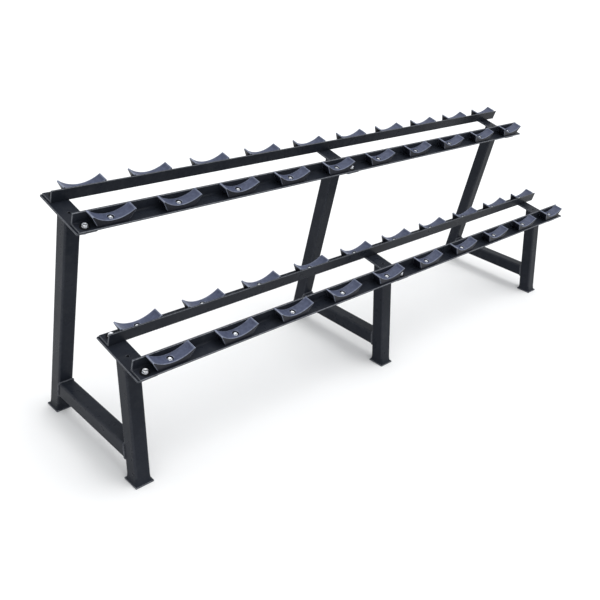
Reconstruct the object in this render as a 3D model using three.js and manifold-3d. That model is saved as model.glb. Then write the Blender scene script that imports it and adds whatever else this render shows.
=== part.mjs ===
// Two-tier dumbbell rack with moulded saddles, for ten pairs of dumbbells.
//
// Millimetres. +X runs along the rails to the right of a person facing the rack, +Y runs to the
// back and +Z is up. The finished rack stands on Z = 0 with its bounding box centred on the origin.
//
// Three welded A-shaped frames stand side by side. Each has a front leg that leans back, a rear
// upright that leans forward, a base bar between them and two flat cross plates: a lower one on
// the front leg and an upper one on the rear upright. A pair of steel angles is bolted across the
// cross plates of each tier, and every angle carries ten moulded saddles.

import * as THREE from 'three';
import { mergeVertices } from 'three/addons/utils/BufferGeometryUtils.js';
import Module from 'manifold-3d';

const wasm = await Module();
wasm.setup();

// ---- Driving dimensions ---------------------------------------------------------------------

const clearance = 0.3; // between pieces that touch on the real rack
const through = 20; // how far a cutter runs past what it cuts

// Saddles and their spacing along a rail.
const saddlesPerRail = 10;
const saddlePitch = 235;
const saddleHalfWidth = 72; // at the horn tips
const saddleBaseHalfWidth = 50;
const saddleFrontMargin = 7; // from the rail's free edge to the saddle
const saddleHornHeight = 40; // above the rail's flat leg
const hornTipWidth = 5;
const bowlRadius = 106;
const bowlFloorHeight = 14.5; // thickness of moulding under the middle of the bowl
const bowlSteps = 10;
const saddleBoltRadius = 4.5;
const counterboreRadius = 10.5;
const counterboreFloor = 5.5; // thickness of moulding left under the bolt head
const saddleHeelChamfer = 6; // clears the rounded root of the angle

// Rails: unequal steel angles, with the tall leg towards the middle of the tier.
const railFlatLeg = 50;
const railTallLeg = 40;
const railThickness = 5;
const railRootRadius = 5;
const railToeRadius = 2;
const railFirstSaddle = 109; // from the rail's left end to the first saddle
const railLastMargin = 84; // from the last saddle to the rail's right end
const railOpening = 113; // clear gap between the tall legs of a tier
const railBoltRadius = 5.5;
const railBoltInset = 21; // from a rail's free edge to its frame bolts

// Frames: square tube, flat bar and foot plates.
const tubeSize = 50;
const tubeWall = 3;
const tubeCornerRadius = 6;
const tubeCornerSteps = 3;
const firstFrameFromRailEnd = 26;
const frontLegLean = 9; // degrees, leaning back
const rearUprightLean = 7.7; // degrees, leaning forward
const rearUprightSetback = 456; // on the floor, from front face to front face
const baseBarHeight = 65; // floor to the underside of the bar
const footOverhang = 6;
const footThickness = 5;
const footCornerRadius = 2;
const plateWidth = 65;
const plateThickness = 6;
const plateFrontMargin = 4; // the rails overhang the plates by this much
const ventHoleRadius = 5;
const ventHoleSetback = 105; // from the front rail's free edge

// Tiers: where the front rail's lower free edge lies, from the front leg's foot.
const tiers = [
  { name: 'lower', setback: -16, height: 373, tilt: 10.1 },
  { name: 'upper', setback: 282, height: 687, tilt: 13.4 },
];

// ---- Derived dimensions ---------------------------------------------------------------------

const lastSaddle = railFirstSaddle + (saddlesPerRail - 1) * saddlePitch;
const railLength = lastSaddle + railLastMargin;
const frameSpacing = (lastSaddle - firstFrameFromRailEnd) / 2;
const frames = [
  { name: 'left', x: firstFrameFromRailEnd },
  { name: 'middle', x: firstFrameFromRailEnd + frameSpacing },
  { name: 'right', x: lastSaddle },
];
const tierDepth = 2 * railFlatLeg + railOpening;
const saddleDepth = railFlatLeg - railThickness - clearance - saddleFrontMargin;
const saddleBoltSetback = saddleFrontMargin + saddleDepth / 2;

// ---- Materials ------------------------------------------------------------------------------

const paintedSteel = { color: 0x1b1e1f, roughness: 0.35, metalness: 0.55 };
const mouldedPolymer = { color: 0x525a70, roughness: 0.55, metalness: 0 };

// ---- Solid helpers --------------------------------------------------------------------------

// A manifold solid from a closed geometry, moved by a matrix.
function toSolid(geometry, matrix = new THREE.Matrix4()) {
  const moved = geometry.clone().applyMatrix4(matrix);
  moved.deleteAttribute('normal');
  moved.deleteAttribute('uv');
  const welded = mergeVertices(moved, 1e-4);
  const vertProperties = new Float32Array(welded.attributes.position.array);
  const triVerts = new Uint32Array(welded.index.array);
  return new wasm.Manifold(new wasm.Mesh({ numProp: 3, vertProperties, triVerts }));
}

function toGeometry(solid) {
  const mesh = solid.getMesh();
  const geometry = new THREE.BufferGeometry();
  geometry.setAttribute('position', new THREE.BufferAttribute(mesh.vertProperties, 3));
  geometry.setIndex(new THREE.BufferAttribute(mesh.triVerts, 1));
  geometry.computeVertexNormals();
  return geometry;
}

// An outline drawn in the YZ plane and drawn out along +X.
function extrudeAlongX(shape, length, curveSegments) {
  const geometry = new THREE.ExtrudeGeometry(shape, {
    depth: length,
    bevelEnabled: false,
    curveSegments,
  });
  const turn = new THREE.Matrix4();
  turn.makeBasis(
    new THREE.Vector3(0, 1, 0),
    new THREE.Vector3(0, 0, 1),
    new THREE.Vector3(1, 0, 0),
  );
  return geometry.applyMatrix4(turn);
}

// An upright round cutter centred on (x, y), from z = low to z = high.
function verticalDrill(x, y, low, high, radius, sides) {
  const geometry = new THREE.CylinderGeometry(radius, radius, high - low, sides);
  geometry.rotateX(Math.PI / 2);
  geometry.translate(x, y, (low + high) / 2);
  return toSolid(geometry);
}

// A box between two corners.
function boxSolid(low, high, matrix) {
  const geometry = new THREE.BoxGeometry(high[0] - low[0], high[1] - low[1], high[2] - low[2]);
  geometry.translate((low[0] + high[0]) / 2, (low[1] + high[1]) / 2, (low[2] + high[2]) / 2);
  return toSolid(geometry, matrix);
}

function roundedRectangle(width, depth, radius) {
  const x = width / 2 - radius;
  const y = depth / 2 - radius;
  const quarter = Math.PI / 2;
  const shape = new THREE.Shape();
  shape.absarc(x, y, radius, 0, quarter);
  shape.absarc(-x, y, radius, quarter, 2 * quarter);
  shape.absarc(-x, -y, radius, 2 * quarter, 3 * quarter);
  shape.absarc(x, -y, radius, 3 * quarter, 4 * quarter);
  return shape;
}

// A bar of rounded rectangular section, standing along Z from z = 0.
function roundedBar(width, depth, radius, length) {
  return new THREE.ExtrudeGeometry(roundedRectangle(width, depth, radius), {
    depth: length,
    bevelEnabled: false,
    curveSegments: tubeCornerSteps,
  });
}

function namedMesh(name, solid, material) {
  const mesh = new THREE.Mesh(toGeometry(solid), new THREE.MeshStandardMaterial(material));
  mesh.name = name;
  return mesh;
}

// ---- Rails ----------------------------------------------------------------------------------

// Section of the front rail: Y runs back from the free edge, Z up from the cross plate.
function angleSection() {
  const back = railFlatLeg;
  const top = railTallLeg;
  const inner = railFlatLeg - railThickness;
  const shape = new THREE.Shape();
  shape.moveTo(0, clearance);
  shape.lineTo(back, clearance);
  shape.lineTo(back, top);
  shape.lineTo(inner + railToeRadius, top);
  shape.absarc(inner + railToeRadius, top - railToeRadius, railToeRadius, Math.PI / 2, Math.PI);
  shape.lineTo(inner, railThickness + railRootRadius);
  shape.absarc(
    inner - railRootRadius,
    railThickness + railRootRadius,
    railRootRadius,
    0,
    -Math.PI / 2,
    true,
  );
  shape.lineTo(railToeRadius, railThickness);
  shape.absarc(railToeRadius, railThickness - railToeRadius, railToeRadius, Math.PI / 2, Math.PI);
  shape.closePath();
  return shape;
}

// The front rail, drilled for its frame bolts. The saddles' bolts fill their holes in the rail, so
// those are closed here. At the right-hand frame the last saddle's own bolt goes on through the
// cross plate, so that frame needs no further hole.
function frontRailSolid() {
  let rail = toSolid(extrudeAlongX(angleSection(), railLength, tubeCornerSteps));
  const sides = 10;
  for (const frame of frames.slice(0, -1)) {
    const hole = verticalDrill(frame.x, railBoltInset, -through, through, railBoltRadius, sides);
    rail = rail.subtract(hole);
  }
  return rail;
}

// ---- Saddles --------------------------------------------------------------------------------

// Outline of a saddle: a flat base, ends that spread upwards into two horns, and a round bowl.
function saddleOutline() {
  const base = railThickness + clearance;
  const tip = base + saddleHornHeight;
  const bowlCentre = base + bowlFloorHeight + bowlRadius;
  const reach = saddleHalfWidth - hornTipWidth;
  const halfAngle = Math.asin(reach / bowlRadius);
  const points = [
    new THREE.Vector2(-saddleBaseHalfWidth, base),
    new THREE.Vector2(saddleBaseHalfWidth, base),
    new THREE.Vector2(saddleHalfWidth, tip - hornTipWidth),
    new THREE.Vector2(saddleHalfWidth - hornTipWidth / 3, tip - hornTipWidth / 3),
  ];
  for (let step = 0; step <= bowlSteps; step += 1) {
    const angle = halfAngle * (1 - (2 * step) / bowlSteps);
    const x = bowlRadius * Math.sin(angle);
    const z = bowlCentre - bowlRadius * Math.cos(angle);
    points.push(new THREE.Vector2(x, z));
  }
  points.push(new THREE.Vector2(-saddleHalfWidth + hornTipWidth / 3, tip - hornTipWidth / 3));
  points.push(new THREE.Vector2(-saddleHalfWidth, tip - hornTipWidth));
  return new THREE.Shape(points);
}

// A front-rail saddle standing over x = 0, with its counterbored bolt hole.
function saddleSolid() {
  const base = railThickness + clearance;
  const back = saddleFrontMargin + saddleDepth;
  const body = new THREE.ExtrudeGeometry(saddleOutline(), {
    depth: saddleDepth,
    bevelEnabled: false,
  });
  body.rotateX(Math.PI / 2);
  body.translate(0, back, 0);
  let saddle = toSolid(body);

  const heel = new THREE.BoxGeometry(
    2 * saddleHalfWidth,
    saddleHeelChamfer * Math.SQRT2,
    saddleHeelChamfer * Math.SQRT2,
  );
  heel.rotateX(Math.PI / 4);
  heel.translate(0, back, base);
  saddle = saddle.subtract(toSolid(heel));

  const y = saddleBoltSetback;
  const seat = base + counterboreFloor;
  saddle = saddle.subtract(verticalDrill(0, y, -through, seat + 1, saddleBoltRadius, 8));
  return saddle.subtract(verticalDrill(0, y, seat, seat + 2 * through, counterboreRadius, 12));
}

// ---- Frames ---------------------------------------------------------------------------------

// Cross plate centred on x = 0 in its tier's frame, its top at z = 0. The right-hand plate is
// drilled for the last saddles' bolts, the others for the rails' own bolts.
function crossPlateSolid(boltInset, boltRadius) {
  const half = plateWidth / 2;
  const rear = tierDepth + 1;
  let plate = boxSolid([-half, plateFrontMargin, -plateThickness], [half, rear, 0]);
  const holes = [
    [boltInset, boltRadius],
    [tierDepth - boltInset, boltRadius],
    [ventHoleSetback, ventHoleRadius],
  ];
  for (const [y, radius] of holes) {
    plate = plate.subtract(verticalDrill(0, y, -through, through, radius, 12));
  }
  return plate;
}

// Places a leaning tube: its front face meets the floor at y = setback.
function leaningMatrix(setback, lean) {
  const matrix = new THREE.Matrix4().makeRotationX(THREE.MathUtils.degToRad(-lean));
  const halfFoot = tubeSize / 2 / Math.cos(THREE.MathUtils.degToRad(lean));
  matrix.setPosition(0, setback + halfFoot, 0);
  return matrix;
}

function tierMatrix(tier) {
  const matrix = new THREE.Matrix4().makeRotationX(THREE.MathUtils.degToRad(tier.tilt));
  matrix.setPosition(0, tier.setback, tier.height);
  return matrix;
}

// A leaning square tube, cut level on its foot plate and cut along the underside of a cross plate.
function legSolid(setback, lean, tier) {
  const leaning = leaningMatrix(setback, lean);
  const length = 2 * tier.height;
  const start = new THREE.Matrix4().makeTranslation(0, 0, -length / 2);
  const place = leaning.clone().multiply(start);
  const bore = tubeSize - 2 * tubeWall;
  const boreRadius = tubeCornerRadius - tubeWall;
  const outer = toSolid(roundedBar(tubeSize, tubeSize, tubeCornerRadius, 2 * length), place);
  const inner = toSolid(roundedBar(bore, bore, boreRadius, 2 * length), place);

  const reach = 2 * length;
  const underside = -plateThickness - clearance;
  const above = boxSolid([-reach, -reach, underside], [reach, reach, reach], tierMatrix(tier));
  const below = boxSolid([-reach, -reach, -reach], [reach, reach, footThickness / 2]);
  const tube = outer.subtract(inner).subtract(above).subtract(below);

  const footDepth = tubeSize / Math.cos(THREE.MathUtils.degToRad(lean)) + 2 * footOverhang;
  const footWidth = tubeSize + 2 * footOverhang;
  const foot = roundedBar(footWidth, footDepth, footCornerRadius, footThickness);
  foot.translate(0, leaning.elements[13], 0);
  return tube.add(toSolid(foot));
}

// The base bar, cut square to the two tubes it joins.
function baseBarSolid() {
  const half = rearUprightSetback / 2;
  const bore = tubeSize - 2 * tubeWall;
  const lay = new THREE.Matrix4().makeRotationX(-Math.PI / 2);
  lay.setPosition(0, 0, baseBarHeight + tubeSize / 2);
  const length = rearUprightSetback;
  const outer = toSolid(roundedBar(tubeSize, tubeSize, tubeCornerRadius, length), lay);
  const bored = roundedBar(bore, bore, tubeCornerRadius - tubeWall, length + 2 * through);
  bored.translate(0, 0, -through);
  const inner = toSolid(bored, lay);

  const reach = tubeSize / 2 + clearance;
  const front = leaningMatrix(0, frontLegLean);
  const rear = leaningMatrix(rearUprightSetback, -rearUprightLean);
  const ahead = boxSolid([-half, -half, -half], [half, reach, half], front);
  const behind = boxSolid([-half, -reach, -half], [half, half, half], rear);
  return outer.subtract(inner).subtract(ahead).subtract(behind);
}

// ---- Assembly -------------------------------------------------------------------------------

const twoDigits = (number) => String(number).padStart(2, '0');

// Everything bolted to one tier, in the tier's own tilted frame.
function buildTier(tier) {
  const group = new THREE.Group();
  group.position.set(0, tier.setback, tier.height);
  group.rotation.x = THREE.MathUtils.degToRad(tier.tilt);

  const rail = frontRailSolid();
  const saddle = saddleSolid();
  for (const side of ['front', 'rear']) {
    const isRear = side === 'rear';
    const mirror = (solid) => (isRear ? solid.mirror([0, 1, 0]).translate([0, tierDepth, 0]) : solid);
    group.add(namedMesh(`${tier.name}_${side}_rail`, mirror(rail), paintedSteel));
    for (let index = 0; index < saddlesPerRail; index += 1) {
      const name = `${tier.name}_${side}_saddle_${twoDigits(index + 1)}`;
      const mesh = namedMesh(name, mirror(saddle), mouldedPolymer);
      mesh.position.x = railFirstSaddle + index * saddlePitch;
      group.add(mesh);
    }
  }

  for (const frame of frames) {
    const isLast = frame.x === lastSaddle;
    const inset = isLast ? saddleBoltSetback : railBoltInset;
    const radius = isLast ? saddleBoltRadius : railBoltRadius;
    const mesh = namedMesh(
      `${frame.name}_${tier.name}_cross_plate`,
      crossPlateSolid(inset, radius),
      paintedSteel,
    );
    mesh.position.x = frame.x;
    group.add(mesh);
  }
  return group;
}

// The three tubes of one frame.
function buildFrame(frame) {
  const group = new THREE.Group();
  const [lower, upper] = tiers;
  const frontLeg = legSolid(0, frontLegLean, lower);
  const rearUpright = legSolid(rearUprightSetback, -rearUprightLean, upper);
  group.add(namedMesh(`${frame.name}_front_leg`, frontLeg, paintedSteel));
  group.add(namedMesh(`${frame.name}_rear_upright`, rearUpright, paintedSteel));
  group.add(namedMesh(`${frame.name}_base_bar`, baseBarSolid(), paintedSteel));
  group.position.x = frame.x;
  return group;
}

const rack = new THREE.Group();
for (const tier of tiers) {
  rack.add(buildTier(tier));
}
for (const frame of frames) {
  rack.add(buildFrame(frame));
}

// Centre the rack over the origin, with its feet on the floor.
rack.updateMatrixWorld(true);
const bounds = new THREE.Box3().setFromObject(rack, true);
const middle = bounds.getCenter(new THREE.Vector3());
rack.position.set(-middle.x, -middle.y, -bounds.min.z);

const group = new THREE.Group();
group.add(rack);

export default group;
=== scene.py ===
"""Looks of the two-tier dumbbell rack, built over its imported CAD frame."""
import math

import bmesh
import bpy
from mathutils import Matrix, Vector


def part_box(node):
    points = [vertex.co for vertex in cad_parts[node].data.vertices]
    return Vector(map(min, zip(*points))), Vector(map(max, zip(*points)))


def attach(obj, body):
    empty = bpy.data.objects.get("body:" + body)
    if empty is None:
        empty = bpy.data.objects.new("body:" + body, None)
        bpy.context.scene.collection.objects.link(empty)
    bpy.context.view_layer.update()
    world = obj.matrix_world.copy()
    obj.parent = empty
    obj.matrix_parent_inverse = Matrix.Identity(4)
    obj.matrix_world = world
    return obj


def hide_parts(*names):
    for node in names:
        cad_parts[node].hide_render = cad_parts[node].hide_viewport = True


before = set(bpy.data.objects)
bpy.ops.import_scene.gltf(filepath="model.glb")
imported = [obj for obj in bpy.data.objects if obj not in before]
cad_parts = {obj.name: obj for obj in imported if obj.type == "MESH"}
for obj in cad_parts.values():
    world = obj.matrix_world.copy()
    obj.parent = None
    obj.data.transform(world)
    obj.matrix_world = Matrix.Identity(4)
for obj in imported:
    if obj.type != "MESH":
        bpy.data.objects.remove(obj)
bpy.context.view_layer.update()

# ---- Dimensions, in millimetres and degrees ---------------------------------------------------
#
# The main sizes are the CAD's. Rolled edges, rims, foot fillets, welds, edge wear with painted
# highlights, fasteners and the height and tips of the saddles' horns are the visual model's own.

MM = 0.001
CLEARANCE = 0.3

SADDLES_PER_RAIL = 10
SADDLE_PITCH = 235.0
SADDLE_HALF_WIDTH = 72.0
SADDLE_BASE_HALF_WIDTH = 50.0
SADDLE_FRONT = 7.0
SADDLE_HORN_HEIGHT = 37.0
HORN_TIP_RADIUS = 2.8
BOWL_RADIUS = 106.0
BOWL_FLOOR = 14.5
COUNTERBORE_RADIUS = 10.5
COUNTERBORE_FLOOR = 5.5
SADDLE_EDGE = 1.1
SADDLE_GUARD = 0.8
RIM_WIDTH = 2.0
RIM_HEIGHT = 0.6
HEEL_CHAMFER = 6.0

# A bolt is a head and washer above, and a washer, nut and thread end below. Its shank, which
# nothing shows, isn't modelled.
SADDLE_BOLT_SIZE = {"across": 13.0, "head_height": 4.4, "washer_radius": 8.6, "shank_radius": 4.0}
FRAME_BOLT_SIZE = {"across": 16.0, "head_height": 6.4, "washer_radius": 10.5, "shank_radius": 5.0}
SADDLE_BOLT_TURNS = {"first": 17.0, "step": 47.0}
FRAME_BOLT_TURNS = {"first": 10.0, "step": 35.0}
FLANGE_SHARE = 0.58  # a flange's radius, as a share of the width across its bolt's flats
WASHER_THICKNESS = 1.6
THREAD_LENGTH = 4.4
THREAD_PITCH = 1.25
# The black washer under each frame bolt is a painted shadow: the dark ring round the bolt.
SHADOW_RING_RADIUS = 15.0
SHADOW_RING_THICKNESS = 2.0

RAIL_FLAT = 50.0
RAIL_TALL = 40.0
RAIL_THICKNESS = 5.0
RAIL_ROOT = 5.0
RAIL_TOE = 2.0
RAIL_EDGE = 0.9
RAIL_FIRST_SADDLE = 109.0
RAIL_LAST_MARGIN = 84.0
RAIL_OPENING = 113.0
RAIL_BOLT_INSET = 21.0

TUBE = 50.0
TUBE_CORNER = 6.0
# The tubes' edges take this share of the lighter edge colour: partly wear, partly a painted
# highlight.
TUBE_WEAR_AND_HIGHLIGHT = 0.10
FIRST_FRAME = 26.0
FRONT_LEAN = 9.0
REAR_LEAN = -7.7
REAR_SETBACK = 456.0
BASE_BAR_HEIGHT = 65.0
FOOT_OVERHANG = 6.0
FOOT_THICKNESS = 5.0
FOOT_FILLET_HEIGHT = 20.0
FOOT_FILLET_WIDTH = 5.4
PLATE_WIDTH = 65.0
PLATE_THICKNESS = 6.0
PLATE_FRONT = 4.0
VENT_RADIUS = 5.0
VENT_SETBACK = 105.0
WELD_RADIUS = 3.4
TOP_WELD_RADIUS = 3.0
WELD_STEP = 1.1
WELD_RIPPLE = 4.2
WELD_SIDES = 10
# Welds take this share of the lighter edge colour all over: a painted highlight.
WELD_HIGHLIGHT = 0.40

SHARP_ANGLE = 32.0
TIP_STEPS = 9
BOWL_STEPS = 44

TIERS = {
    "lower": {"setback": -16.0, "height": 373.0, "tilt": 10.1},
    "upper": {"setback": 282.0, "height": 687.0, "tilt": 13.4},
}

LAST_SADDLE = RAIL_FIRST_SADDLE + (SADDLES_PER_RAIL - 1) * SADDLE_PITCH
RAIL_LENGTH = LAST_SADDLE + RAIL_LAST_MARGIN
FRAMES = {
    "left": FIRST_FRAME,
    "middle": (FIRST_FRAME + LAST_SADDLE) / 2,
    "right": LAST_SADDLE,
}
TIER_DEPTH = 2 * RAIL_FLAT + RAIL_OPENING
SADDLE_BACK = RAIL_FLAT - RAIL_THICKNESS - CLEARANCE
SADDLE_BOLT = (SADDLE_FRONT + SADDLE_BACK) / 2
SADDLE_BASE = RAIL_THICKNESS + CLEARANCE

# Where the CAD frame puts the rails' left end and the front legs' front faces.
RAIL_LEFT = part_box("lower_front_rail")[0].x / MM
FRONT_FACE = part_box("left_front_leg")[0].y / MM + FOOT_OVERHANG


def turn_x(degrees):
    return Matrix.Rotation(math.radians(degrees), 4, "X")


def tier_place(tier, x=0.0):
    """Where a tier's mesh goes in the rack, x millimetres from the rails' left end."""
    at = Vector((RAIL_LEFT + x, FRONT_FACE + tier["setback"], tier["height"]))
    return Matrix.Translation(at * MM)


def frame_matrix(x):
    return Matrix.Translation(Vector((RAIL_LEFT + x, FRONT_FACE, 0.0)) * MM)


# ---- Mesh helpers -----------------------------------------------------------------------------


def new_bmesh():
    """An empty mesh with a layer, from 0 to 1, that lightens each point's colour: partly edge
    wear, partly a painted highlight.
    """
    bm = bmesh.new()
    bm.verts.layers.float.new("wear_and_highlight")
    return bm


def rounded_outline(corners, steps, guard):
    """A closed outline of (x, y, wear_and_highlight) points from (x, y, radius) corners, each one
    rounded.
    """
    points = []
    for index, (x, y, radius) in enumerate(corners):
        corner = Vector((x, y))
        before = (Vector(corners[index - 1][:2]) - corner).normalized()
        after = (Vector(corners[(index + 1) % len(corners)][:2]) - corner).normalized()
        half = before.angle(after) / 2
        centre = corner + (before + after).normalized() * (radius / math.sin(half))
        start = corner + before * (radius / math.tan(half))
        end = corner + after * (radius / math.tan(half))
        points.append((*(start + before * guard), 0.0))
        sweep = math.pi - 2 * half
        for step in range(steps + 1):
            share = step / steps
            near = math.sin((1 - share) * sweep) / math.sin(sweep)
            far = math.sin(share * sweep) / math.sin(sweep)
            at = centre + (start - centre) * near + (end - centre) * far
            # Each rounding takes the lighter edge colour, most at its middle: partly wear, partly
            # a painted highlight.
            points.append((*at, 0.3 + 0.7 * math.sin(math.pi * share)))
        points.append((*(end + after * guard), 0.0))
    return points


def offset_outline(points, distance):
    """The outline moved outwards by a distance; inwards if that is negative."""
    flat = [Vector(p[:2]) for p in points]
    area = sum(a.cross(b) for a, b in zip(flat, flat[1:] + flat[:1]))
    side = 1.0 if area > 0 else -1.0
    moved = []
    for index, point in enumerate(flat):
        before = (point - flat[index - 1]).normalized()
        after = (flat[(index + 1) % len(flat)] - point).normalized()
        normal = Vector((before.y + after.y, -before.x - after.x)).normalized()
        lean = max(normal.dot(Vector((after.y, -after.x))), 0.5)
        at = point + normal * (side * distance / lean)
        moved.append((at.x, at.y, points[index][2]))
    return moved


def loft(bm, rings, closed_path=False):
    """Skins a list of rings of (x, y, z, wear_and_highlight) points, in millimetres."""
    layer = bm.verts.layers.float["wear_and_highlight"]
    made = []
    for ring in rings:
        verts = []
        for x, y, z, wear_and_highlight in ring:
            vert = bm.verts.new((x * MM, y * MM, z * MM))
            vert[layer] = wear_and_highlight
            verts.append(vert)
        made.append(verts)
    pairs = list(zip(made, made[1:]))
    if closed_path:
        pairs.append((made[-1], made[0]))
    for low, high in pairs:
        count = len(low)
        for index in range(count):
            after = (index + 1) % count
            bm.faces.new((low[index], low[after], high[after], high[index]))
    if not closed_path:
        bm.faces.new(reversed(made[0]))
        bm.faces.new(made[-1])


def shade(mesh, sharp=SHARP_ANGLE):
    """Shades a mesh smooth except across sharp edges."""
    mesh.shade_smooth()
    mesh.set_sharp_from_angle(angle=math.radians(sharp))


def finished_mesh(name, bm, sharp=SHARP_ANGLE):
    """The bmesh as a shaded mesh."""
    bmesh.ops.recalc_face_normals(bm, faces=bm.faces)
    mesh = bpy.data.meshes.new(name)
    bm.to_mesh(mesh)
    bm.free()
    shade(mesh, sharp)
    return mesh


def mirrored(mesh, name):
    """A copy of a front-rail mesh for the rear rail of its tier."""
    copy = mesh.copy()
    copy.name = name
    flip = Matrix.Diagonal((1.0, -1.0, 1.0, 1.0))
    shift = Matrix.Translation((0.0, TIER_DEPTH * MM, 0.0))
    copy.transform(shift @ flip)
    copy.flip_normals()
    return copy


def tilted(mesh, tier_name):
    """A copy of a mesh made level in a tier's frame, turned to that tier's tilt."""
    copy = mesh.copy()
    copy.name = f"{tier_name}_{mesh.name}"
    copy.transform(turn_x(TIERS[tier_name]["tilt"]))
    return copy


def add_piece(name, mesh, matrix, material, node=None):
    piece = bpy.data.objects.new(name, mesh)
    bpy.context.scene.collection.objects.link(piece)
    piece.matrix_world = matrix
    if not mesh.materials:
        mesh.materials.append(material)
    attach(piece, "root")
    if node:
        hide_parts(node)
    return piece


def boolean_cut(mesh, cutter):
    """Cuts one mesh out of another and returns the result."""
    body = bpy.data.objects.new("cut_body", mesh)
    tool = bpy.data.objects.new("cut_tool", cutter)
    for each in (body, tool):
        bpy.context.scene.collection.objects.link(each)
    modifier = body.modifiers.new("cut", "BOOLEAN")
    modifier.operation = "DIFFERENCE"
    modifier.solver = "EXACT"
    modifier.object = tool
    bpy.context.view_layer.update()
    graph = bpy.context.evaluated_depsgraph_get()
    result = bpy.data.meshes.new_from_object(body.evaluated_get(graph))
    for each in (body, tool):
        bpy.data.objects.remove(each)
    return result


def round_ring(radius, z, count, centre=(0.0, 0.0)):
    ring = []
    for index in range(count):
        angle = 2 * math.pi * index / count
        x = centre[0] + radius * math.cos(angle)
        y = centre[1] + radius * math.sin(angle)
        ring.append((x, y, z, 0.0))
    return ring


def hex_ring(across_flats, limit, z, count=48):
    """A hexagon of points, trimmed by a circle of the limit radius."""
    ring = []
    for index in range(count):
        angle = 2 * math.pi * index / count
        turn = (angle + math.pi / 6) % (math.pi / 3) - math.pi / 6
        radius = min(across_flats / 2 / math.cos(turn), limit)
        ring.append((radius * math.cos(angle), radius * math.sin(angle), z, 0.0))
    return ring


# ---- Materials --------------------------------------------------------------------------------


class Nodes:
    """A node material under construction."""

    def __init__(self, name):
        self.material = bpy.data.materials.new(name)
        self.material.use_nodes = True
        self.tree = self.material.node_tree
        self.shader = self.tree.nodes["Principled BSDF"]
        geometry = self.tree.nodes.new("ShaderNodeNewGeometry")
        self.place = geometry.outputs["Position"]
        self.normal = geometry.outputs["Normal"]

    def link(self, source, target):
        self.tree.links.new(source, target)

    def noise(self, scale, detail=3.0, roughness=0.5, stretch=None):
        """Noise in the rack's own space, with its scale in features per metre."""
        node = self.tree.nodes.new("ShaderNodeTexNoise")
        node.inputs["Scale"].default_value = scale
        node.inputs["Detail"].default_value = detail
        node.inputs["Roughness"].default_value = roughness
        place = self.place
        if stretch:
            mapping = self.tree.nodes.new("ShaderNodeMapping")
            mapping.inputs["Scale"].default_value = stretch
            self.link(place, mapping.inputs["Vector"])
            place = mapping.outputs["Vector"]
        self.link(place, node.inputs["Vector"])
        return node.outputs["Fac"]

    def span(self, source, low, high, to_low, to_high):
        node = self.tree.nodes.new("ShaderNodeMapRange")
        node.inputs["From Min"].default_value = low
        node.inputs["From Max"].default_value = high
        node.inputs["To Min"].default_value = to_low
        node.inputs["To Max"].default_value = to_high
        self.link(source, node.inputs["Value"])
        return node.outputs["Result"]

    def math(self, operation, first, second):
        node = self.tree.nodes.new("ShaderNodeMath")
        node.operation = operation
        for slot, value in zip(node.inputs, (first, second)):
            if isinstance(value, (int, float)):
                slot.default_value = value
            else:
                self.link(value, slot)
        return node.outputs["Value"]

    def mix(self, factor, first, second):
        node = self.tree.nodes.new("ShaderNodeMix")
        node.data_type = "RGBA"
        self.link(factor, node.inputs["Factor"])
        for slot, value in ((node.inputs[6], first), (node.inputs[7], second)):
            if isinstance(value, tuple):
                slot.default_value = (*value, 1.0)
            else:
                self.link(value, slot)
        return node.outputs[2]

    def upward(self):
        """How far a surface looks up, from 0 on a wall to 1 on a floor."""
        node = self.tree.nodes.new("ShaderNodeSeparateXYZ")
        self.link(self.normal, node.inputs["Vector"])
        return node.outputs["Z"]

    def wear_and_highlight(self):
        node = self.tree.nodes.new("ShaderNodeAttribute")
        node.attribute_name = "wear_and_highlight"
        return node.outputs["Fac"]

    def bump(self, height, distance, strength=1.0, under=None):
        node = self.tree.nodes.new("ShaderNodeBump")
        node.inputs["Distance"].default_value = distance
        node.inputs["Strength"].default_value = strength
        self.link(height, node.inputs["Height"])
        if under:
            self.link(under, node.inputs["Normal"])
        return node.outputs["Normal"]


def painted_steel():
    """Satin black powder coat: fine orange peel, faint handling marks, edges lighter from thin
    paint and a painted highlight.
    """
    nodes = Nodes("painted_steel")
    shader = nodes.shader
    broad = nodes.noise(5.0, 4.0, 0.6)
    smudge = nodes.noise(28.0, 5.0, 0.65)
    flow = nodes.noise(16.0, 3.0, 0.5, stretch=(0.35, 1.0, 1.0))
    tone = nodes.span(broad, 0.35, 0.65, 0.0, 1.0)
    paint = nodes.mix(tone, (0.0118, 0.0142, 0.0200), (0.0165, 0.0192, 0.0262))
    dust_and_top_light = nodes.mix(nodes.span(smudge, 0.52, 0.75, 0.0, 0.35), paint, (0.040, 0.043, 0.048))
    patches = nodes.span(nodes.noise(180.0, 4.0, 0.7), 0.38, 0.62, 0.40, 1.00)
    # Edges are painted a lighter grey: partly worn-thin paint, partly a painted highlight.
    edge_wear_and_highlight = nodes.math("MULTIPLY", nodes.wear_and_highlight(), patches)
    nodes.link(nodes.mix(edge_wear_and_highlight, dust_and_top_light, (0.215, 0.225, 0.250)), shader.inputs["Base Color"])
    smudged = nodes.span(smudge, 0.3, 0.7, 0.20, 0.36)
    flowed = nodes.span(flow, 0.35, 0.65, 0.0, 0.08)
    nodes.link(nodes.math("ADD", smudged, flowed), shader.inputs["Roughness"])
    peel = nodes.bump(nodes.noise(420.0, 2.0, 0.45), 0.00012, 0.35)
    waves = nodes.bump(nodes.noise(38.0, 2.0, 0.4), 0.0009, 0.12, under=peel)
    nodes.link(waves, shader.inputs["Normal"])
    shader.inputs["Specular IOR Level"].default_value = 0.075
    return nodes.material


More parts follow.
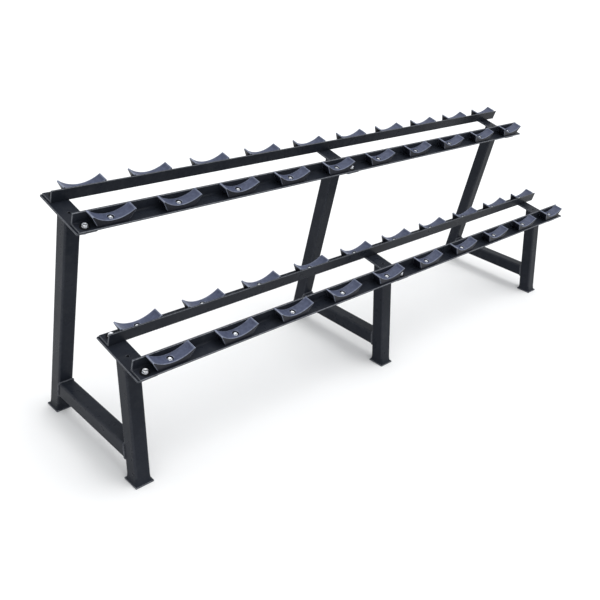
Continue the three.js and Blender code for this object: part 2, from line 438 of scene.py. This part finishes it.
def saddle_polymer():
    """Moulded blue-black polymer: fine grain, painted top light mottled with dust where it looks
    up, scuffs, edges lighter from wear and a painted highlight.
    """
    nodes = Nodes("saddle_polymer")
    shader = nodes.shader
    broad = nodes.noise(14.0, 3.0, 0.55)
    mottle = nodes.noise(95.0, 4.0, 0.6)
    scuff = nodes.noise(220.0, 5.0, 0.7, stretch=(1.0, 0.12, 1.0))
    tone = nodes.span(broad, 0.35, 0.65, 0.0, 1.0)
    body = nodes.mix(tone, (0.0070, 0.0080, 0.0130), (0.0105, 0.0120, 0.0190))
    dust = nodes.span(mottle, 0.38, 0.68, 0.0, 1.0)
    dust_and_top_light = nodes.mix(dust, (0.056, 0.066, 0.110), (0.080, 0.094, 0.152))
    # Faces that look up are painted a much lighter, dust-mottled colour and walls keep the dark
    # body colour: painted light from above and painted shade on the walls.
    body = nodes.mix(nodes.span(nodes.upward(), 0.25, 0.85, 0.0, 1.0), body, dust_and_top_light)
    body = nodes.mix(nodes.span(scuff, 0.60, 0.78, 0.0, 0.30), body, (0.110, 0.128, 0.190))
    # Edges are painted a lighter blue-grey: partly wear, partly a painted highlight.
    edge_wear_and_highlight = nodes.math("MULTIPLY", nodes.wear_and_highlight(), nodes.span(mottle, 0.3, 0.7, 0.45, 0.95))
    nodes.link(nodes.mix(edge_wear_and_highlight, body, (0.300, 0.330, 0.420)), shader.inputs["Base Color"])
    nodes.link(nodes.span(scuff, 0.3, 0.7, 0.36, 0.52), shader.inputs["Roughness"])
    grain = nodes.bump(nodes.noise(900.0, 2.0, 0.5), 0.00010, 0.45)
    dents = nodes.bump(scuff, 0.00015, 0.25, under=grain)
    nodes.link(dents, shader.inputs["Normal"])
    shader.inputs["Specular IOR Level"].default_value = 0.18
    return nodes.material


def black_shadow_ring():
    """A matt near-black washer material, darker than the paint: a painted shadow for the dark ring
    round each frame bolt. It has a fine grain and a little pale dust.
    """
    nodes = Nodes("black_shadow_ring")
    shader = nodes.shader
    grain = nodes.noise(650.0, 3.0, 0.6)
    dust = nodes.span(nodes.noise(60.0, 4.0, 0.6), 0.55, 0.80, 0.0, 0.35)
    body = nodes.mix(dust, (0.0035, 0.0035, 0.0045), (0.020, 0.021, 0.023))
    nodes.link(body, shader.inputs["Base Color"])
    nodes.link(nodes.span(grain, 0.3, 0.7, 0.55, 0.75), shader.inputs["Roughness"])
    nodes.link(nodes.bump(grain, 0.0001, 0.4), shader.inputs["Normal"])
    shader.inputs["Specular IOR Level"].default_value = 0.10
    return nodes.material


def zinc_steel():
    """Bright zinc plate with a faint blue-gold passivate and tool marks."""
    nodes = Nodes("zinc_steel")
    shader = nodes.shader
    tint = nodes.noise(70.0, 3.0, 0.5)
    marks = nodes.noise(1400.0, 3.0, 0.6, stretch=(1.0, 0.2, 1.0))
    plate = nodes.mix(nodes.span(tint, 0.4, 0.6, 0.0, 1.0), (0.80, 0.83, 0.88), (0.85, 0.86, 0.88))
    plate = nodes.mix(nodes.span(marks, 0.62, 0.8, 0.0, 0.35), plate, (0.50, 0.50, 0.50))
    nodes.link(plate, shader.inputs["Base Color"])
    nodes.link(nodes.span(marks, 0.3, 0.7, 0.26, 0.44), shader.inputs["Roughness"])
    nodes.link(nodes.bump(marks, 0.00005, 0.3), shader.inputs["Normal"])
    shader.inputs["Metallic"].default_value = 1.0
    return nodes.material


# ---- Rails ------------------------------------------------------------------------------------


def rail_mesh():
    """A steel angle with rolled edges, a filleted root and sawn ends."""
    inner = RAIL_FLAT - RAIL_THICKNESS
    corners = [
        (0.0, CLEARANCE, RAIL_EDGE),
        (RAIL_FLAT, CLEARANCE, RAIL_EDGE),
        (RAIL_FLAT, RAIL_TALL, RAIL_EDGE),
        (inner, RAIL_TALL, RAIL_TOE),
        (inner, RAIL_THICKNESS, RAIL_ROOT),
        (0.0, RAIL_THICKNESS, RAIL_TOE),
    ]
    outline = rounded_outline(corners, steps=5, guard=0.8)
    root = RAIL_ROOT + 2.0
    outline = [
        (y, z, 0.0 if abs(y - inner) < root and abs(z - RAIL_THICKNESS) < root else wear_and_highlight)
        for y, z, wear_and_highlight in outline
    ]
    ends = [(0.0, -0.5), (0.15, -0.15), (0.5, 0.0), (2.0, 0.0)]
    stations = ends + [(RAIL_LENGTH - x, inset) for x, inset in reversed(ends)]
    rings = []
    for x, inset in stations:
        ring = offset_outline(outline, inset)
        # The sawn ends take at least half the lighter edge colour: partly wear, partly a painted
        # highlight.
        near_end = min(x, RAIL_LENGTH - x) < 0.6
        rings.append([(x, y, z, max(wear_and_highlight, 0.5) if near_end else wear_and_highlight) for y, z, wear_and_highlight in ring])
    bm = new_bmesh()
    loft(bm, rings)
    return finished_mesh("rail", bm)


# ---- Saddles ----------------------------------------------------------------------------------


def saddle_outline():
    """(x, z, wear_and_highlight, in_bowl) round a saddle, seen from the front: bowl, horn tips,
    ends, base.
    """
    bowl_centre = Vector((0.0, SADDLE_BASE + BOWL_FLOOR + BOWL_RADIUS))
    foot = Vector((SADDLE_BASE_HALF_WIDTH, SADDLE_BASE))
    end = Vector((SADDLE_HALF_WIDTH, SADDLE_BASE + SADDLE_HORN_HEIGHT))
    slope = (end - foot).normalized()
    inward = Vector((-slope.y, slope.x))
    # The tip's centre lies its radius in from the end and out from the bowl.
    start = foot + inward * HORN_TIP_RADIUS - bowl_centre
    reach = BOWL_RADIUS + HORN_TIP_RADIUS
    half = start.dot(slope)
    along = -half - math.sqrt(half * half - start.length_squared + reach * reach)
    centre = bowl_centre + start + slope * along
    to_bowl = bowl_centre - centre
    first = math.atan2(to_bowl.y, to_bowl.x)
    last = math.atan2(-inward.y, -inward.x)
    right = []
    for step in range(1, TIP_STEPS + 1):
        angle = first + (last - first) * step / TIP_STEPS
        at = centre + Vector((math.cos(angle), math.sin(angle))) * HORN_TIP_RADIUS
        right.append((at.x, at.y, math.sin(math.pi * (step - 0.5) / TIP_STEPS), 0.0))
    top = Vector(right[-1][:2])
    for share in (0.05, 0.35, 0.7, 0.97):
        at = top.lerp(foot, share)
        right.append((at.x, at.y, 0.0, 0.0))
    right.append((foot.x, foot.y, 0.0, 0.0))
    half_angle = math.atan2(centre.x, bowl_centre.y - centre.y)
    bowl = []
    for step in range(BOWL_STEPS + 1):
        angle = half_angle * (2 * step / BOWL_STEPS - 1)
        x = BOWL_RADIUS * math.sin(angle)
        z = bowl_centre.y - BOWL_RADIUS * math.cos(angle)
        edge = min(step, BOWL_STEPS - step)
        bowl.append((x, z, 0.4 if edge == 0 else 0.0, min(edge / 3, 1.0)))
    left = [(-x, z, wear_and_highlight, inside) for x, z, wear_and_highlight, inside in reversed(right)]
    return left + bowl + right


def saddle_mesh():
    """A moulded saddle with a raised rim, a chamfered heel and its bolt's counterbore."""
    outline = saddle_outline()
    plain = [(x, z, wear_and_highlight) for x, z, wear_and_highlight, _ in outline]
    centre = Vector((0.0, SADDLE_BASE + BOWL_FLOOR + BOWL_RADIUS))
    # The edge roundings and the rim's edge take the lighter edge colour: partly wear, partly a
    # painted highlight.
    stations = [(0.0, SADDLE_EDGE + SADDLE_GUARD, 0.0, 0.0)]
    steps = 4
    for step in range(steps + 1):
        angle = math.pi / 2 * step / steps
        at = SADDLE_EDGE * (1 - math.cos(angle))
        inset = SADDLE_EDGE * (1 - math.sin(angle))
        stations.append((at, inset, 0.0, 0.35 + 0.65 * math.sin(2 * angle) if step else 0.2))
    stations.append((SADDLE_EDGE + 0.6, 0.0, 0.0, 0.1))
    stations.append((SADDLE_EDGE + RIM_WIDTH, 0.0, 0.0, 0.35))
    stations.append((SADDLE_EDGE + RIM_WIDTH + 0.7, 0.0, 0.8, 0.1))
    stations.append((SADDLE_EDGE + RIM_WIDTH + 1.4, 0.0, 1.0, 0.0))
    depth = SADDLE_BACK - SADDLE_FRONT
    back = [(depth - at, inset, sunk, wear_highlight_level) for at, inset, sunk, wear_highlight_level in reversed(stations)]
    rings = []
    for at, inset, sunk, wear_highlight_level in stations + back:
        ring = []
        for (x, z, wear_and_highlight), (_, _, _, inside) in zip(offset_outline(plain, -inset), outline):
            point = Vector((x, z))
            if inside:
                point += (point - centre).normalized() * (sunk * inside * RIM_HEIGHT)
            shown = max(wear_and_highlight, wear_highlight_level) if z > SADDLE_BASE + 2.0 and inset <= SADDLE_EDGE else 0.0
            ring.append((point.x, SADDLE_FRONT + at, point.y, shown))
        rings.append(ring)
    bm = new_bmesh()
    loft(bm, rings)
    heel = Vector((0.0, SADDLE_BACK - HEEL_CHAMFER, SADDLE_BASE)) * MM
    every = bm.verts[:] + bm.edges[:] + bm.faces[:]
    cut = bmesh.ops.bisect_plane(
        bm, geom=every, plane_co=heel, plane_no=(0.0, 1.0, -1.0), clear_outer=True
    )
    edges = [each for each in cut["geom_cut"] if isinstance(each, bmesh.types.BMEdge)]
    bmesh.ops.holes_fill(bm, edges=edges, sides=0)
    body = finished_mesh("saddle_blank", bm)

    tool = new_bmesh()
    floor = SADDLE_BASE + COUNTERBORE_FLOOR
    bowl = SADDLE_BASE + BOWL_FLOOR - RIM_HEIGHT
    middle = (0.0, SADDLE_BOLT)
    radius = COUNTERBORE_RADIUS
    profile = [
        (radius - 0.6, floor),
        (radius, floor + 0.5),
        (radius, bowl - 0.7),
        (radius + 0.35, bowl - 0.15),
        (radius + 1.1, bowl + 0.35),
        (radius + 3.0, bowl + 1.3),
        (radius + 6.0, bowl + 12.0),
    ]
    loft(tool, [round_ring(r, z, 56, middle) for r, z in profile])
    cutter = finished_mesh("counterbore", tool)
    mesh = boolean_cut(body, cutter)
    mesh.name = "saddle"
    shade(mesh)
    return mesh


# ---- Fasteners --------------------------------------------------------------------------------


def washer(bm, radius, low, thickness):
    edge = 0.25
    top = low + thickness
    profile = [
        (radius - edge, low), (radius, low + edge), (radius, top - edge), (radius - edge, top),
    ]
    loft(bm, [round_ring(r, z, 48) for r, z in profile])


def hex_head(bm, across, low, height, up=1.0):
    """A hexagonal head or nut with a turned chamfer; up is 1 for its face on top, or -1."""
    corner = across / math.sqrt(3)
    profile = [
        (corner * 0.96, 0.0), (corner * 1.01, 0.35), (corner * 1.01, height - 1.1),
        (corner * 0.955, height - 0.55), (corner * 0.86, height - 0.08), (corner * 0.83, height),
        (corner * 0.60, height), (corner * 0.56, height - 0.15),
    ]
    loft(bm, [hex_ring(across, limit, low + up * z) for limit, z in profile])


def thread_end(bm, radius, top, length, pitch):
    """The end of a bolt below its nut, with turned threads."""
    rings = []
    turns = int(length / pitch)
    for turn in range(turns):
        z = top - turn * pitch
        rings.append(round_ring(radius - 0.55, z, 32))
        rings.append(round_ring(radius, z - 0.5 * pitch, 32))
    rings.append(round_ring(radius - 0.55, top - turns * pitch, 32))
    rings.append(round_ring(radius - 1.3, top - turns * pitch - 0.7, 32))
    loft(bm, rings)


def shadow_ring_washer_mesh():
    """A black washer between a frame bolt's flange and its rail: a painted shadow, the dark ring
    round the bolt.
    """
    bm = new_bmesh()
    washer(bm, SHADOW_RING_RADIUS, RAIL_THICKNESS, SHADOW_RING_THICKNESS)
    return finished_mesh("rubber_washer", bm)


def bolt_mesh(name, seat, under, across, head_height, washer_radius, shank_radius):
    """A flanged bolt that sits at z = seat, with its washer and nut below z = under."""
    bm = new_bmesh()
    washer(bm, across * FLANGE_SHARE, seat, WASHER_THICKNESS)
    hex_head(bm, across, seat + WASHER_THICKNESS, head_height)
    washer(bm, washer_radius, under - WASHER_THICKNESS, WASHER_THICKNESS)
    nut = across / 2 - 0.2
    hex_head(bm, across, under - WASHER_THICKNESS, nut, up=-1.0)
    thread_end(bm, shank_radius, under - WASHER_THICKNESS - nut, THREAD_LENGTH, THREAD_PITCH)
    return finished_mesh(name, bm, sharp=28.0)


# ---- Frames -----------------------------------------------------------------------------------


def leg_point(px, py, lean, setback, along):
    """A point of a leaning tube: (px, py) in its section and a distance along it."""
    tilt = math.radians(lean)
    base = setback + TUBE / 2 / math.cos(tilt)
    y = base + py * math.cos(tilt) + along * math.sin(tilt)
    z = -py * math.sin(tilt) + along * math.cos(tilt)
    return px, y, z


def along_to_height(py, lean, height):
    tilt = math.radians(lean)
    return (height + py * math.sin(tilt)) / math.cos(tilt)


def along_to_plate(py, lean, setback, tier, below):
    """How far along a leaning tube the line through py meets a plane below a tier's plate top."""
    tilt = math.radians(lean)
    slope = math.radians(tier["tilt"])
    normal = Vector((0.0, -math.sin(slope), math.cos(slope)))
    on_plane = Vector((0.0, tier["setback"], tier["height"])) - normal * below
    start = Vector(leg_point(0.0, py, lean, setback, 0.0))
    axis = Vector((0.0, math.sin(tilt), math.cos(tilt)))
    return normal.dot(on_plane - start) / normal.dot(axis)


def tube_outline(grow=0.0):
    half = TUBE / 2 + grow
    radius = TUBE_CORNER + max(grow, 0.0)
    corners = [
        (-half, -half, radius), (half, -half, radius),
        (half, half, radius), (-half, half, radius),
    ]
    return rounded_outline(corners, steps=6, guard=1.5)


def slab(bm, outline, low, high, edge=0.9):
    """A flat plate with rounded edges from an outline."""
    steps = 3
    rings = []
    for step in range(steps + 1):
        angle = math.pi / 2 * step / steps
        inset = edge * (1 - math.sin(angle))
        z = low + edge * (1 - math.cos(angle))
        # The plate's edge roundings take the lighter edge colour: partly wear, partly a painted
        # highlight.
        rings.append((z, inset, 0.3 + 0.7 * math.sin(2 * angle)))
    top = [(low + high - z, inset, wear_highlight_level) for z, inset, wear_highlight_level in reversed(rings)]
    skin = []
    for z, inset, wear_highlight_level in rings + top:
        skin.append([(x, y, z, wear_highlight_level) for x, y, _ in offset_outline(outline, -inset)])
    guard = [(x, y, high, 0.0) for x, y, _ in offset_outline(outline, -edge - 0.8)]
    under = [(x, y, low, 0.0) for x, y, _ in offset_outline(outline, -edge - 0.8)]
    loft(bm, [under] + skin + [guard])


def leg_mesh(name, lean, setback, tier):
    """A leaning tube with a fillet weld round its foot, on its foot plate."""
    bm = new_bmesh()
    rings = []
    for step in range(6):
        share = step / 5
        rise = FOOT_FILLET_HEIGHT * share
        flare = FOOT_FILLET_WIDTH * (1 - math.sqrt(1 - (1 - share) ** 2))
        ring = []
        for px, py, _ in tube_outline(flare):
            along = along_to_height(py, lean, FOOT_THICKNESS + rise)
            ring.append((*leg_point(px, py, lean, setback, along), 0.0))
        rings.append(ring)
    outline = tube_outline()
    for rise in (FOOT_FILLET_HEIGHT + 3.0, BASE_BAR_HEIGHT + TUBE):
        ring = []
        for px, py, wear_and_highlight in outline:
            along = along_to_height(py, lean, FOOT_THICKNESS + rise)
            ring.append((*leg_point(px, py, lean, setback, along), TUBE_WEAR_AND_HIGHLIGHT * wear_and_highlight))
        rings.append(ring)
    below = PLATE_THICKNESS + CLEARANCE
    top = []
    for px, py, wear_and_highlight in outline:
        along = along_to_plate(py, lean, setback, tier, below)
        top.append((*leg_point(px, py, lean, setback, along), TUBE_WEAR_AND_HIGHLIGHT * wear_and_highlight))
    rings.append(top)
    loft(bm, rings)

    half_width = TUBE / 2 + FOOT_OVERHANG
    half_depth = TUBE / 2 / math.cos(math.radians(lean)) + FOOT_OVERHANG
    middle = setback + TUBE / 2 / math.cos(math.radians(lean))
    corners = [
        (-half_width, middle - half_depth, 2.5), (half_width, middle - half_depth, 2.5),
        (half_width, middle + half_depth, 2.5), (-half_width, middle + half_depth, 2.5),
    ]
    slab(bm, rounded_outline(corners, steps=4, guard=1.0), 0.0, FOOT_THICKNESS, edge=1.5)
    return finished_mesh(name, bm)


def tube_face_y(lean, setback, py, height):
    """The y of a leaning tube's front (py < 0) or back face at a height."""
    return leg_point(0.0, py, lean, setback, along_to_height(py, lean, height))[1]


def base_bar_mesh():
    """The bar between a frame's two tubes, with its ends cut to their faces."""
    bm = new_bmesh()
    front, back = [], []
    centre = BASE_BAR_HEIGHT + TUBE / 2
    for x, z, wear_and_highlight in tube_outline():
        height = centre + z
        start = tube_face_y(FRONT_LEAN, 0.0, TUBE / 2 + CLEARANCE, height)
        end = tube_face_y(REAR_LEAN, REAR_SETBACK, -TUBE / 2 - CLEARANCE, height)
        front.append((x, start, height, TUBE_WEAR_AND_HIGHLIGHT * wear_and_highlight))
        back.append((x, end, height, TUBE_WEAR_AND_HIGHLIGHT * wear_and_highlight))
    loft(bm, [front, back])
    return finished_mesh("base_bar", bm)


def weld_bead(bm, path, radius=WELD_RADIUS):
    """A rippled bead along a closed path of points, in millimetres."""
    lengths = [0.0]
    closed = path + path[:1]
    for a, b in zip(closed, closed[1:]):
        lengths.append(lengths[-1] + (b - a).length)
    total = lengths[-1]
    count = int(total / WELD_STEP)
    points = []
    segment = 0
    for index in range(count):
        at = total * index / count
        while lengths[segment + 1] < at:
            segment += 1
        share = (at - lengths[segment]) / max(lengths[segment + 1] - lengths[segment], 1e-6)
        points.append(closed[segment].lerp(closed[segment + 1], share))
    centre = sum(points, Vector()) / count
    ripples = round(total / WELD_RIPPLE)
    rings = []
    for index, point in enumerate(points):
        along = (points[(index + 1) % count] - points[index - 1]).normalized()
        outward = point - centre
        outward = (outward - along * outward.dot(along)).normalized()
        third = along.cross(outward)
        phase = 2 * math.pi * ripples * index / count
        size = radius * (1 + 0.10 * math.sin(phase) + 0.05 * math.sin(phase * 0.37 + 1.0))
        ring = []
        for turn in range(WELD_SIDES):
            angle = 2 * math.pi * turn / WELD_SIDES
            at = point + (outward * math.cos(angle) + third * math.sin(angle)) * size
            ring.append((*at, WELD_HIGHLIGHT))
        rings.append(ring)
    loft(bm, rings, closed_path=True)


def base_weld_mesh():
    """The welds at both ends of a base bar."""
    bm = new_bmesh()
    centre = BASE_BAR_HEIGHT + TUBE / 2
    for lean, setback, py in ((FRONT_LEAN, 0.0, TUBE / 2), (REAR_LEAN, REAR_SETBACK, -TUBE / 2)):
        path = []
        for x, z, _ in tube_outline(0.4):
            path.append(Vector((x, tube_face_y(lean, setback, py, centre + z), centre + z)))
        weld_bead(bm, path)
    return finished_mesh("base_weld", bm, sharp=60.0)


def top_weld_mesh(name, lean, setback, tier):
    """The weld between a leaning tube and the cross plate on it."""
    bm = new_bmesh()
    path = []
    for px, py, _ in tube_outline(0.4):
        along = along_to_plate(py, lean, setback, tier, PLATE_THICKNESS)
        path.append(Vector(leg_point(px, py, lean, setback, along)))
    weld_bead(bm, path, TOP_WELD_RADIUS)
    return finished_mesh(name, bm, sharp=60.0)


def cross_plate_mesh():
    """A flat bar with rolled edges and the vent hole over its tube."""
    half = PLATE_WIDTH / 2
    rear = TIER_DEPTH + 1.0
    corners = [
        (-half, PLATE_FRONT, 2.5), (half, PLATE_FRONT, 2.5), (half, rear, 2.5), (-half, rear, 2.5),
    ]
    bm = new_bmesh()
    slab(bm, rounded_outline(corners, steps=3, guard=1.0), -PLATE_THICKNESS, 0.0)
    body = finished_mesh("plate_blank", bm)
    tool = new_bmesh()
    middle = (0.0, VENT_SETBACK)
    profile = [
        (VENT_RADIUS, -PLATE_THICKNESS - 5.0), (VENT_RADIUS, -0.6), (VENT_RADIUS + 0.7, 0.1),
        (VENT_RADIUS + 1.0, 1.0),
    ]
    loft(tool, [round_ring(r, z, 40, middle) for r, z in profile])
    mesh = boolean_cut(body, finished_mesh("vent", tool))
    mesh.name = "cross_plate"
    shade(mesh)
    return mesh


# ---- Assembly ---------------------------------------------------------------------------------


def bolt_turn(turns, number):
    """A bolt's turn about its own axis, so that no two neighbours' hexagons line up."""
    degrees = turns["first"] + turns["step"] * number
    return Matrix.Rotation(math.radians(degrees), 4, "Z")


def build_tier(tier_name, meshes, materials):
    tier = TIERS[tier_name]
    steel, polymer, zinc, shadow_ring = materials
    level = turn_x(tier["tilt"])
    for side in ("front", "rear"):
        line = f"{tier_name}_{side}"
        node = f"{line}_rail"
        rail = tilted(meshes[f"{side}_rail"], tier_name)
        add_piece(f"{node}_detail", rail, tier_place(tier), steel, node)
        saddle = tilted(meshes[f"{side}_saddle"], tier_name)
        bolt_y = SADDLE_BOLT if side == "front" else TIER_DEPTH - SADDLE_BOLT
        frame_y = RAIL_BOLT_INSET if side == "front" else TIER_DEPTH - RAIL_BOLT_INSET
        for index in range(SADDLES_PER_RAIL):
            place = tier_place(tier, RAIL_FIRST_SADDLE + index * SADDLE_PITCH)
            node = f"{line}_saddle_{index + 1:02d}"
            add_piece(f"{node}_detail", saddle, place, polymer, node)
            last = index == SADDLES_PER_RAIL - 1
            bolt = meshes["long_saddle_bolt" if last else "saddle_bolt"]
            turned = bolt_turn(SADDLE_BOLT_TURNS, index)
            place = place @ level @ Matrix.Translation((0.0, bolt_y * MM, 0.0)) @ turned
            add_piece(f"{line}_saddle_bolt_{index + 1:02d}", bolt, place, zinc)
        for number, frame_name in enumerate(("left", "middle")):
            place = tier_place(tier, FRAMES[frame_name]) @ level
            place = place @ Matrix.Translation((0.0, frame_y * MM, 0.0))
            # Each frame bolt sits on a black washer that paints the shadow ring round it.
            # The record has no rubber slot, so the rubber washers go under the polymer's.
            name = f"{line}_{frame_name}_rubber_washer"
            add_piece(name, meshes["rubber_washer"], place, shadow_ring)
            place = place @ bolt_turn(FRAME_BOLT_TURNS, number)
            name = f"{line}_{frame_name}_frame_bolt"
            add_piece(name, meshes["frame_bolt"], place, zinc)
    plate = tilted(meshes["plate"], tier_name)
    for frame_name, x in FRAMES.items():
        node = f"{frame_name}_{tier_name}_cross_plate"
        add_piece(f"{node}_detail", plate, tier_place(tier, x), steel, node)


def build_frame(frame_name, meshes, materials):
    steel = materials[0]
    place = frame_matrix(FRAMES[frame_name])
    for part in ("front_leg", "rear_upright", "base_bar"):
        node = f"{frame_name}_{part}"
        add_piece(f"{node}_detail", meshes[part], place, steel, node)
    for weld in ("base_weld", "front_leg_weld", "rear_upright_weld"):
        add_piece(f"{frame_name}_{weld}", meshes[weld], place, steel)


def build_meshes():
    meshes = {"front_rail": rail_mesh(), "front_saddle": saddle_mesh()}
    meshes["rear_rail"] = mirrored(meshes["front_rail"], "rear_rail")
    meshes["rear_saddle"] = mirrored(meshes["front_saddle"], "rear_saddle")
    seat = SADDLE_BASE + COUNTERBORE_FLOOR
    meshes["saddle_bolt"] = bolt_mesh("saddle_bolt", seat, CLEARANCE, **SADDLE_BOLT_SIZE)
    meshes["long_saddle_bolt"] = bolt_mesh(
        "long_saddle_bolt", seat, -PLATE_THICKNESS, **SADDLE_BOLT_SIZE
    )
    frame_seat = RAIL_THICKNESS + SHADOW_RING_THICKNESS
    meshes["frame_bolt"] = bolt_mesh("frame_bolt", frame_seat, -PLATE_THICKNESS, **FRAME_BOLT_SIZE)
    meshes["rubber_washer"] = shadow_ring_washer_mesh()
    meshes["plate"] = cross_plate_mesh()
    front = (FRONT_LEAN, 0.0, TIERS["lower"])
    rear = (REAR_LEAN, REAR_SETBACK, TIERS["upper"])
    meshes["front_leg"] = leg_mesh("front_leg", *front)
    meshes["rear_upright"] = leg_mesh("rear_upright", *rear)
    meshes["base_bar"] = base_bar_mesh()
    meshes["base_weld"] = base_weld_mesh()
    meshes["front_leg_weld"] = top_weld_mesh("front_leg_weld", *front)
    meshes["rear_upright_weld"] = top_weld_mesh("rear_upright_weld", *rear)
    return meshes


# ---- Studio -----------------------------------------------------------------------------------


def build_floor():
    bm = bmesh.new()
    bmesh.ops.create_circle(bm, cap_ends=True, segments=96, radius=60.0)
    mesh = bpy.data.meshes.new("floor")
    bm.to_mesh(mesh)
    bm.free()
    floor = bpy.data.objects.new("floor", mesh)
    bpy.context.scene.collection.objects.link(floor)
    nodes = Nodes("pale_floor")
    mottle = nodes.span(nodes.noise(1.5, 3.0, 0.5), 0.3, 0.7, 0.0, 1.0)
    colour = nodes.mix(mottle, (0.86, 0.86, 0.86), (0.88, 0.88, 0.88))
    nodes.link(colour, nodes.shader.inputs["Base Color"])
    nodes.shader.inputs["Roughness"].default_value = 0.9
    nodes.shader.inputs["Specular IOR Level"].default_value = 0.1
    mesh.materials.append(nodes.material)


def build_light():
    """An even, pale room with a wide soft light overhead, a little to the front and right."""
    world = bpy.data.worlds.new("studio")
    world.use_nodes = True
    background = world.node_tree.nodes["Background"]
    background.inputs["Color"].default_value = (0.97, 0.985, 1.0, 1.0)
    background.inputs["Strength"].default_value = 0.88
    bpy.context.scene.world = world
    light = bpy.data.lights.new("overhead", "SUN")
    light.energy = 1.7
    light.angle = math.radians(50.0)
    lamp = bpy.data.objects.new("overhead", light)
    bpy.context.scene.collection.objects.link(lamp)
    lamp.rotation_euler = Vector((0.25, -0.15, 1.0)).to_track_quat("Z", "Y").to_euler()


def build_camera():
    """Front left, a little above, tipped slightly so that the rails climb to the right."""
    heading, pitch, roll = 46.55, -25.22, 6.02
    eye = Vector((-2.100, -1.667, 1.5255))
    camera = bpy.data.cameras.new("camera")
    camera.sensor_width = 36.0
    camera.lens = 45.11
    camera.shift_x = 0.0135
    camera.shift_y = -0.0508
    camera.clip_end = 200.0
    view = bpy.data.objects.new("camera", camera)
    bpy.context.scene.collection.objects.link(view)
    turn = Matrix.Rotation(math.radians(-heading), 4, "Z")
    lift = Matrix.Rotation(math.radians(90.0 + pitch), 4, "X")
    tip = Matrix.Rotation(math.radians(roll), 4, "Z")
    view.matrix_world = Matrix.Translation(eye) @ turn @ lift @ tip
    bpy.context.scene.camera = view


build_camera()
materials = (painted_steel(), saddle_polymer(), zinc_steel(), black_shadow_ring())
meshes = build_meshes()
for tier_name in TIERS:
    build_tier(tier_name, meshes, materials)
for frame_name in FRAMES:
    build_frame(frame_name, meshes, materials)
build_floor()
build_light()
bpy.context.scene.view_settings.view_transform = "Standard"
